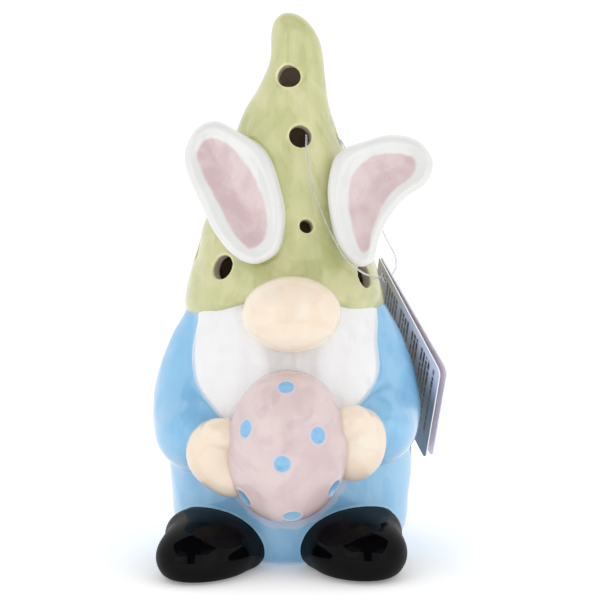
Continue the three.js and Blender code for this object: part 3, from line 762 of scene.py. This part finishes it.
def gradient(distance, points):
    columns = []
    for axis in range(3):
        shift = np.zeros(3)
        shift[axis] = GRADIENT_REACH
        ahead, behind = ((points + s * shift).T for s in (1, -1))
        columns.append((distance(tuple(ahead)) - distance(tuple(behind))) / (2 * GRADIENT_REACH))
    return np.stack(columns, axis=1)


def settle(distance, points, cell, rounds):
    """Moves points onto the surface along its slope."""
    for _ in range(rounds):
        value = distance(tuple(points.T))
        slope = gradient(distance, points)
        square = np.maximum((slope**2).sum(1), LEAST_SLOPE**2)
        points = points - clamp(value / square, -cell, cell)[:, None] * slope
    return points


def relax(points, quads, share):
    """Evens the spacing of the points."""
    total = np.zeros_like(points)
    count = np.zeros(len(points))
    for a, b in ((0, 1), (1, 2), (2, 3), (3, 0)):
        for i, j in ((quads[:, a], quads[:, b]), (quads[:, b], quads[:, a])):
            for k in range(3):
                total[:, k] += np.bincount(i, weights=points[j, k], minlength=len(points))
            count += np.bincount(i, minlength=len(points))
    return points + share * (total / count[:, None] - points)


def mesh_from(name, points, quads):
    mesh = bpy.data.meshes.new(name)
    mesh.vertices.add(len(points))
    mesh.vertices.foreach_set("co", ((points + AXIS) * MM).astype(np.float32).ravel())
    mesh.loops.add(quads.size)
    mesh.loops.foreach_set("vertex_index", quads.ravel().astype(np.int32))
    mesh.polygons.add(len(quads))
    mesh.polygons.foreach_set("loop_start", np.arange(0, quads.size, 4, dtype=np.int32))
    mesh.polygons.foreach_set("use_smooth", np.ones(len(quads), bool))
    mesh.update(calc_edges=True)
    mesh.validate()
    return mesh


def store(mesh, name, values):
    """Keeps a value for each point, for the material to read."""
    mesh.attributes.new(name, "FLOAT", "POINT").data.foreach_set("value", values.astype(np.float32))


def bend_of(points):
    """How sharply the whole figure's skin bends: positive over an edge, negative in a crease."""
    def value(q):
        q = tuple(q.T)
        return whole(q, members(q))

    middle = value(points)
    total = -6 * middle
    for axis in range(3):
        shift = np.zeros(3)
        shift[axis] = BEND_REACH
        total = total + value(points + shift) + value(points - shift)
    return total / BEND_REACH**2


def ear_blush(p, dish, side):
    """1 in the dish in an ear's front, with a soft edge."""
    x, _, z = p
    inside = step(-dish.at(x, z + EAR_DROP[side]), -EAR_PAINT_EDGE, EAR_PAINT_EDGE)
    return inside * step(-ear_across(p, side), -1, 0)


def paint_and_highlight_of(name, p):
    """Where a member's second colour goes: from 0 to 1 for the blush on an ear and for the painted highlight
    on the coat under the egg, and on the egg the distance from the nearest cup's centre."""
    x, y, z = p
    if name in EARS:
        return ear_blush(p, *EARS[name][1:])
    if name == "egg":
        return np.min([cup_radius(x, y, z, *cup) for cup in EGG_CUPS], axis=0)
    # On the coat: the mask of the painted highlight under the egg
    if name == "coat":
        (egg_x, _, egg_z), (across, _, up) = EGG["at"], EGG["half"]
        reach = np.sqrt(((x - egg_x) / across) ** 2 + ((z - egg_z + HIGHLIGHT_DROP) / up) ** 2) - 1
        return clamp(1 - reach * across / HIGHLIGHT_WIDTH) * step(-y, *HIGHLIGHT_FRONT)
    return np.zeros(x.shape)


def make_member(name, node, material, cell):
    """Meshes one member, stores what its material reads, and stands it in for its CAD node."""
    low, high = (np.array(corner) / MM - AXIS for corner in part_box(node))

    def distance(p):
        return piece_distance(p, name)

    points, quads = closed_surface(distance, low - BOX_MARGIN, high + BOX_MARGIN, cell)
    points = settle(distance, points, cell, 1)
    points = relax(points, quads, RELAX_SHARE)
    points = settle(distance, points, cell, 2)
    mesh = mesh_from(name, points, quads[:, ::-1])
    p = tuple(points.T)
    store(mesh, "bend", bend_of(points))
    store(mesh, "depth", -np.min(list(members(p).values()), axis=0))
    store(mesh, "paint_and_highlight", paint_and_highlight_of(name, p))
    piece = add_object(name + "_glazed", mesh)
    mesh.materials.append(material)
    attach(piece, "figure")
    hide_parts(node)


# ---- Ceramic materials ----
CLOUD_MM = 22
PATCH_MM = 14
STROKE_MM = 3.6
STROKE_STRETCH = 0.17
STROKE_TURN = 12
# How much of the painted highlight colour goes on sharp edges
EDGE_HIGHLIGHT_SHARE = 0.75
GLAZE_ROUGH = 0.2
CLAY_ROUGH = 0.75
RING_ROUGH = 0.8
CLEAR_COAT_ROUGH = 0.045
# How far below the skin the bare clay starts and the darker inside starts, in mm
CLAY_DEPTH = (0.5, 1.0)
INSIDE_DEPTH = (2.4, 4.0)
BISQUE = colour(186, 172, 156)
INSIDE = colour(196, 176, 156)
UNGLAZED = (0.2, 0.05)  # the ring it stood on in the kiln, by height above the ground in mm


def glaze(name, tones, rim, crease_tint, streak=0.25, patch=0.4, under=None, over=None, coat=0.5, shine=0.5,
          crease_tint_share=0.6):
    """Brushed underglaze colour below clear gloss glaze. tones are its light, middle and dark patches;
    rim is a painted highlight on sharp edges, and the crease colour is painted shade in creases (a lighter
    tint on the blue), by its share; under and over add a second colour before and after those tints. Below
    the skin, by depth in mm, the clay shows bare."""
    n = Nodes(name)
    light, middle, dark = (colour(*tone) for tone in tones)
    clouds = n.noise(CLOUD_MM, distortion=0.5)
    base = n.mix(n.ramp(clouds, 0.36, 0.6), light, middle)
    patches = n.noise(PATCH_MM, distortion=1.2)
    base = n.mix(n.ramp(patches, 0.5, 0.62, to=(0.0, patch)), base, dark)
    brushed = n.place(scale=(1, 1, STROKE_STRETCH), turn=(0, STROKE_TURN, 0))
    strokes = n.noise(STROKE_MM, brushed, distortion=0.6)
    base = n.mix(n.ramp(strokes, 0.5, 0.75, to=(0.0, streak)), base, light)
    base = n.mix(n.ramp(strokes, 0.45, 0.25, to=(0.0, streak)), base, dark)
    if under is not None:
        base = under(n, base)
    bend = n.attribute("bend")
    # Painted shade in creases (a lighter tint on the blue glaze), then a painted highlight on sharp edges
    base = n.mix(n.ramp(bend, -0.08, -0.8, to=(0.0, crease_tint_share)), base, colour(*crease_tint))
    base = n.mix(n.ramp(bend, 0.35, 1.3, to=(0.0, EDGE_HIGHLIGHT_SHARE)), base, colour(*rim))
    if over is not None:
        base = over(n, base)
    depth = n.attribute("depth")
    unglazed = n.ramp(n.along((0, 0, 1), (0, 0, 0)), *UNGLAZED)
    base = n.mix(n.math("MAXIMUM", n.ramp(depth, *CLAY_DEPTH), unglazed), base, BISQUE)
    base = n.mix(n.ramp(depth, *INSIDE_DEPTH), base, INSIDE)
    grain = n.noise(0.6, detail=3)
    base = n.mix(n.math("MULTIPLY", n.ramp(grain, 0.55, 0.8), unglazed), base, INSIDE)
    rough = n.math("MAXIMUM", n.ramp(depth, 0.4, 1.2, to=(GLAZE_ROUGH, CLAY_ROUGH)),
                   n.math("MULTIPLY", unglazed, RING_ROUGH))
    slow = n.bump(n.noise(PATCH_MM, detail=1), 0.25, 0.35)
    return n.finish(base_color=base, roughness=rough, ior=1.5, specular_ior_level=shine,
                    coat_weight=coat, coat_roughness=CLEAR_COAT_ROUGH, normal=slow)


def ear_paint(n, base):
    """The blush in the ear's dish, brushed on with an uneven edge."""
    ragged = n.math("ADD", n.attribute("paint_and_highlight"), n.ramp(n.noise(4, detail=2), 0.3, 0.7, to=(-0.06, 0.06)))
    blush = n.mix(n.ramp(n.noise(11, detail=3, distortion=0.8), 0.35, 0.65), colour(221, 201, 201),
                  colour(211, 186, 188))
    strokes = n.noise(3, n.place(scale=(1, 1, 0.3), turn=(0, 25, 0)), detail=3, distortion=1.5)
    blush = n.mix(n.ramp(strokes, 0.56, 0.72, to=(0.0, 0.4)), blush, colour(205, 172, 179))
    return n.mix(n.ramp(ragged, 0.2, 0.75), base, blush)


def egg_paint(n, base):
    """The blue in the cups, with a pale ring round each."""
    cup = n.attribute("paint_and_highlight")
    blue = n.mix(n.noise(2, detail=1), colour(150, 198, 232), colour(118, 180, 224))
    halo = n.mix(n.ramp(cup, 1.3, 1.12, to=(0.0, 0.6)), base, colour(205, 200, 214))
    return n.mix(n.ramp(cup, 0.98, 0.84), halo, blue)


def painted_egg_highlight(n, base):
    """A painted highlight: a pale lilac band on the coat under the egg."""
    near = n.attribute("paint_and_highlight")
    soft = n.math("ADD", near, n.ramp(n.noise(5, detail=1), 0.3, 0.7, to=(-0.12, 0.12)))
    return n.mix(n.ramp(soft, 0.15, 0.5, to=(0.0, 0.7)), base, colour(202, 207, 230))


# Each glaze: tones, the painted edge highlight colour and the crease colour (painted shade, lighter on the
# blue), and its own settings
GLAZES = {
    "blue": (((148, 199, 234), (135, 191, 230), (118, 180, 223)), (176, 214, 238), (154, 203, 232),
             {"under": painted_egg_highlight, "crease_tint_share": 0.5}),
    "green": (((210, 208, 159), (196, 198, 144), (174, 182, 119)), (240, 237, 182), (166, 172, 106),
              {"streak": 0.5, "patch": 0.3}),
    "white": (((241, 241, 243), (237, 237, 239), (226, 226, 228)), (245, 245, 247), (238, 238, 240),
              {"streak": 0.45, "patch": 0.2, "crease_tint_share": 0.3}),
    "ear": (((234, 234, 233), (230, 230, 228), (225, 225, 223)), (240, 240, 239), (226, 226, 224),
            {"streak": 0.15, "over": ear_paint, "crease_tint_share": 0.1}),
    "flesh": (((243, 231, 214), (241, 224, 204), (238, 212, 186)), (246, 236, 221), (230, 198, 162),
              {"streak": 0.1, "patch": 0.35, "coat": 0.3, "crease_tint_share": 0.5}),
    "pink": (((222, 203, 202), (216, 194, 195), (204, 178, 184)), (228, 214, 212), (204, 184, 188),
             {"over": egg_paint, "patch": 0.4}),
    "black": (((8, 8, 10), (6, 6, 8), (3, 3, 4)), (10, 10, 12), (2, 2, 3),
              {"coat": 0.2, "shine": 0.0}),
}


# Each member's glaze, and its mesh cell in mm
MEMBERS = {
    "coat": ("blue", 0.85), "hat": ("green", 0.75), "beard": ("white", 0.5),
    "nose": ("flesh", 0.45), "ear_left": ("ear", 0.5), "ear_right": ("ear", 0.5),
    "sleeve_left": ("blue", 0.65), "sleeve_right": ("blue", 0.65),
    "hand_left": ("flesh", 0.5), "hand_right": ("flesh", 0.5), "egg": ("pink", 0.45),
    "shoe_left": ("black", 0.6), "shoe_right": ("black", 0.6),
}
# Where a member's CAD node has another name
CAD_NODES = {"coat": "torso_shell", "hat": "hat_shell"}


# ---- Materials for the card and the light unit ----
CARD_ROW = 2.15
CARD_ROWS_FROM = (8, 9)
CARD_ROWS_TO = (54, 53)
CARD_MARGIN = (4, 52)
CARD_RAGGED = 12
CARD_DOT_STEP = 5.2
CARD_DOT_EDGE = (1.5, 1.3)
CARD_BAND = (9, 8.6)


def card_places(n):
    """Distances in mm from the card's corner, across it from the fold and along the fold."""
    down, fold, _ = card_axes()
    return n.along(down, CARD_CORNER + AXIS), n.along(fold, CARD_CORNER + AXIS)


def card_marks(n):
    """Rows of small meaningless strokes, parallel to the fold, in blocks of uneven line length."""
    across, run = card_places(n)
    row = n.math("FLOOR", n.math("DIVIDE", across, CARD_ROW))
    in_row = n.math("FRACT", n.math("DIVIDE", across, CARD_ROW))
    place = n.add("CombineXYZ", {0: n.math("MULTIPLY", run, 0.9), 1: n.math("MULTIPLY", row, 7.3)})
    strokes = n.add("TexNoise", {"Vector": place.outputs[0], "Scale": 1.0, "Detail": 2.0}).outputs[0]
    lengths = n.add("TexWhiteNoise", {"W": row}, noise_dimensions="1D").outputs[0]
    start = n.ramp(run, CARD_MARGIN[0], CARD_MARGIN[0] + 0.5)
    ends = n.math("MULTIPLY_ADD", lengths, CARD_RAGGED, CARD_MARGIN[1] - CARD_RAGGED)
    stop = n.math("LESS_THAN", run, ends)
    block = n.math("GREATER_THAN", n.math("FRACT", n.math("MULTIPLY_ADD", row, 0.22, 0.1)), 0.2)
    body = n.math("MULTIPLY", n.ramp(in_row, 0.12, 0.2), n.ramp(in_row, 0.86, 0.76))
    margin = n.math("MULTIPLY", n.ramp(across, *CARD_ROWS_FROM), n.ramp(across, *CARD_ROWS_TO))
    marks = n.math("MULTIPLY", n.ramp(strokes, 0.36, 0.46), body)
    for part in (start, stop, block, margin):
        marks = n.math("MULTIPLY", marks, part)
    return marks


def card_print(n, soft):
    """A blush wash with pale dots and a deeper band along the fold."""
    across, run = card_places(n)
    spots = [n.math("PINGPONG", value, CARD_DOT_STEP) for value in (across, run)]
    nearest = n.math("SQRT", n.math("ADD", *[n.math("POWER", spot, 2.0) for spot in spots]))
    wash = n.mix(soft, colour(228, 206, 216), colour(214, 204, 224))
    dotted = n.mix(n.ramp(nearest, *CARD_DOT_EDGE), wash, colour(232, 230, 242))
    return n.mix(n.ramp(across, *CARD_BAND), dotted, colour(178, 158, 188))


def card_back(n, back):
    """The marked leaf's back: painted shade near its fold, a painted shadow with a painted blue reflection
    of the coat away from its corner, and the rows of strokes.
    """
    across, run = card_places(n)
    # Painted shade, grey-green, near the fold
    back = n.mix(n.ramp(across, 30, 4, to=(0.0, 0.6)), back, colour(128, 130, 122))
    # Painted shadow and painted reflection of the blue coat, away from the corner
    back = n.mix(n.ramp(run, 3, 26, to=(0.0, 0.94)), back, colour(70, 106, 128))
    return n.mix(card_marks(n), back, colour(14, 18, 26))


def card(name, marked):
    """Coated card: the marked leaf has the rows on its back, the other the print on its front."""
    n = Nodes(name)
    facing = n.facing(card_axes()[2])
    fibre = n.noise(0.5, detail=3)
    soft = n.noise(12, distortion=0.8)
    core = n.mix(fibre, colour(238, 236, 240), colour(250, 250, 252))
    back = n.mix(soft, colour(250, 242, 252), colour(240, 236, 250))
    if marked:
        back = card_back(n, back)
        front = n.mix(soft, colour(240, 234, 242), colour(228, 226, 238))
    else:
        front = card_print(n, soft)
    base = n.mix(n.ramp(facing, -0.6, -0.8), core, back)
    base = n.mix(n.ramp(facing, 0.6, 0.8), base, front)
    feel = n.bump(fibre, 0.02, 0.4)
    return n.finish(base_color=base, roughness=0.38, specular_ior_level=0.15, normal=feel)


def moulded(name, tone, roughness=0.42, grain=0.5, clear=0.0):
    """Injection-moulded plastic: a fine spark-eroded grain and slow flow marks."""
    n = Nodes(name)
    flow = n.noise(9, detail=2, distortion=1.4)
    fine = n.noise(grain, detail=3)
    lighter = tuple(min(1.0, value * 1.03) for value in colour(*tone)[:3]) + (1.0,)
    base = n.mix(n.ramp(flow, 0.35, 0.7), colour(*tone), lighter)
    rough = n.ramp(fine, 0.3, 0.7, to=(roughness - 0.06, roughness + 0.08))
    return n.finish(base_color=base, roughness=rough, ior=1.49, transmission_weight=clear,
                    normal=n.bump(fine, 0.03, 0.5))


def plated(name, tone, roughness, lines_mm=0.25, turn=(0, 0, 0)):
    """Bright plated metal with fine drawn lines and a few dull spots."""
    n = Nodes(name)
    lines = n.noise(lines_mm, n.place(scale=(1, 0.05, 0.05), turn=turn), detail=3)
    spots = n.noise(2.2, detail=3)
    dull = tuple(value * 0.72 for value in colour(*tone)[:3]) + (1.0,)
    base = n.mix(n.ramp(spots, 0.45, 0.75), colour(*tone), dull)
    rough = n.ramp(lines, 0.3, 0.7, to=(roughness * 0.8, roughness * 1.3))
    return n.finish(base_color=base, metallic=1.0, roughness=rough, normal=n.bump(lines, 0.02, 0.35))


def cell_can(name, node):
    """A button cell's steel can, with the dark seal round its smaller end."""
    n = Nodes(name)
    low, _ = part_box(node)
    from_end = n.along((1, 0, 0), (low[0] / MM, 0, 0))
    seal = n.math("MULTIPLY", n.ramp(from_end, 0.75, 0.85), n.ramp(from_end, 1.25, 1.15))
    rings = n.noise(0.3, n.place(scale=(1, 0.04, 0.04)), detail=3)
    base = n.mix(n.ramp(rings, 0.3, 0.7), colour(196, 198, 202), colour(222, 224, 228))
    base = n.mix(seal, base, colour(36, 38, 44))
    metal = n.math("SUBTRACT", 1.0, seal)
    return n.finish(base_color=base, metallic=metal, roughness=0.24, normal=n.bump(rings, 0.02, 0.3))


def board():
    """Green solder mask over copper tracks, with tinned pads."""
    n = Nodes("board_green")
    cells = n.add("TexVoronoi", {"Vector": n.place(), "Scale": 1 / (3.2 * MM), "Randomness": 0.55},
                  distance="CHEBYCHEV", feature="F1").outputs["Distance"]
    tracks = n.math("MULTIPLY", n.ramp(cells, 0.3, 0.34), n.ramp(cells, 0.42, 0.38))
    pads = n.ramp(cells, 0.14, 0.11)
    base = n.mix(n.noise(6, detail=2), colour(28, 96, 58), colour(34, 112, 66))
    base = n.mix(tracks, base, colour(78, 150, 84))
    base = n.mix(pads, base, colour(200, 198, 190))
    return n.finish(base_color=base, metallic=pads, roughness=0.32,
                    normal=n.bump(n.math("ADD", tracks, pads), 0.05, 0.6))


def lamp():
    """The lamp's clear warm-tinted resin over its pale chip."""
    n = Nodes("lamp_clear")
    low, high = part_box("led_lamp")
    up = n.along((0, 0, 1), (0, 0, low[2] / MM))
    height = (high[2] - low[2]) / MM
    chip = n.ramp(up, 0.45 * height, 0.25 * height)
    base = n.mix(chip, colour(252, 246, 226), colour(244, 206, 96))
    haze = n.ramp(n.noise(1.2, detail=2), 0.3, 0.7, to=(0.05, 0.16))
    return n.finish(base_color=base, roughness=haze, ior=1.54, transmission_weight=0.6)


def rubber():
    """Soft pale silicone, faintly mottled and dusty."""
    n = Nodes("seal_rubber")
    dust = n.noise(0.8, detail=4)
    base = n.mix(n.ramp(dust, 0.45, 0.7), colour(214, 214, 208), colour(236, 236, 230))
    return n.finish(base_color=base, roughness=0.62, subsurface_weight=0.15, subsurface_radius=(1, 1, 1),
                    subsurface_scale=1.5 * MM, normal=n.bump(dust, 0.05, 0.4))


def dress_unit():
    """A better material in the slots of every CAD node that stays in sight."""
    steel = plated("plated_steel", (206, 207, 210), 0.22)
    nickel = plated("nickel_strip", (214, 210, 200), 0.26, turn=(0, 0, 90))
    looks = {
        "unit_base": moulded("base_plastic", (232, 231, 226)),
        "light_housing": moulded("housing_plastic", (238, 238, 234), roughness=0.36),
        "light_cap": moulded("cap_frosted", (240, 238, 230), roughness=0.3, grain=0.8, clear=0.55),
        "led_lamp": lamp(),
        "circuit_board": board(),
        "switch_body": moulded("switch_plastic", (58, 58, 62), roughness=0.5),
        "switch_slider": moulded("slider_plastic", (28, 28, 31), roughness=0.38, grain=0.35),
        "contact_spring": steel,
        "contact_plate": nickel,
        "battery_door": moulded("door_plastic", (226, 225, 220), roughness=0.46, grain=0.4),
        "door_screw": plated("screw_zinc", (190, 194, 200), 0.3, lines_mm=0.15),
        "sealing_ring": rubber(),
        "tag_lock": moulded("lock_nylon", (236, 238, 240), roughness=0.3, clear=0.3),
        "tag_leaf": card("card_marked", True),
        "tag_cover": card("card_cover", False),
    }
    for number in (1, 2, 3):
        name = f"battery_{number}"
        looks[name] = cell_can(f"cell_steel_{number}", name)
    for node, material in looks.items():
        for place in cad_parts[node].material_slots:
            place.material = material


# ---- Stage ----
FLOOR_SIZE = 300
FLOOR_DROP = 0.0002
FLOOR_GLOW = 0.2
SKY = 0.97
MIDDLE = (0, 0.01, 0.1)
SOFTBOX_SIZE = (0.7, 1.1)
FRONT_LOW = (0, -0.75, 0.002)


def make_stage():
    bpy.ops.mesh.primitive_plane_add(size=FLOOR_SIZE, location=(0, 0, -FLOOR_DROP))
    floor = bpy.context.object
    floor.name = "floor"
    n = Nodes("floor")
    pale = n.mix(n.noise(900, detail=1), (0.93, 0.93, 0.93, 1), (0.95, 0.95, 0.95, 1))
    floor.data.materials.append(n.finish(base_color=pale, roughness=0.9, specular_ior_level=0.0,
                                         emission_color=(1, 1, 1, 1), emission_strength=FLOOR_GLOW))
    world = bpy.data.worlds.new("studio")
    bpy.context.scene.world = world
    world.use_nodes = True
    background = world.node_tree.nodes["Background"]
    background.inputs[0].default_value = (1, 1, 1, 1)
    background.inputs[1].default_value = SKY


def softbox(name, at, power):
    data = bpy.data.lights.new(name, "AREA")
    data.shape = "RECTANGLE"
    data.size, data.size_y = SOFTBOX_SIZE
    data.energy = power
    light = add_object(name, data)
    light.location = at
    light.rotation_euler = (Vector(MIDDLE) - Vector(at)).to_track_quat("-Z", "Y").to_euler()


def flag(name, at, aim, size):
    """A dark panel beside the lights, seen only in reflections."""
    bpy.ops.mesh.primitive_plane_add(size=1, location=at)
    panel = bpy.context.object
    panel.name = name
    panel.scale = (*size, 1)
    panel.rotation_euler = (Vector(aim) - Vector(at)).to_track_quat("Z", "Y").to_euler()
    n = Nodes(name)
    dark = n.mix(n.noise(300, detail=1), (0.0, 0.0, 0.0, 1), (0.004, 0.004, 0.004, 1))
    panel.data.materials.append(n.finish(base_color=dark, roughness=1.0, specular_ior_level=0.0))
    for kind in ("camera", "diffuse", "shadow"):
        setattr(panel, "visible_" + kind, False)


def make_lights():
    softbox("key", (-0.75, -0.85, 0.75), 0.9)
    softbox("fill", (0.85, -0.75, 0.6), 0.65)
    flag("flag_front", (0, -1.3, 0.6), MIDDLE, (0.55, 1.6))
    flag("flag_high", (0, -0.3, 1.5), MIDDLE, (3.0, 2.2))
    flag("flag_floor", FRONT_LOW, (0, FRONT_LOW[1], 1), (0.36, 0.9))
    scene = bpy.context.scene
    scene.view_settings.view_transform = "Standard"
    scene.view_settings.look = "None"


make_camera()
make_thread()
materials = {name: glaze("glaze_" + name, *tints, **extra) for name, (*tints, extra) in GLAZES.items()}
for member, (look, cell_mm) in MEMBERS.items():
    make_member(member, CAD_NODES.get(member, member), materials[look], cell_mm)
dress_unit()
make_stage()
make_lights()
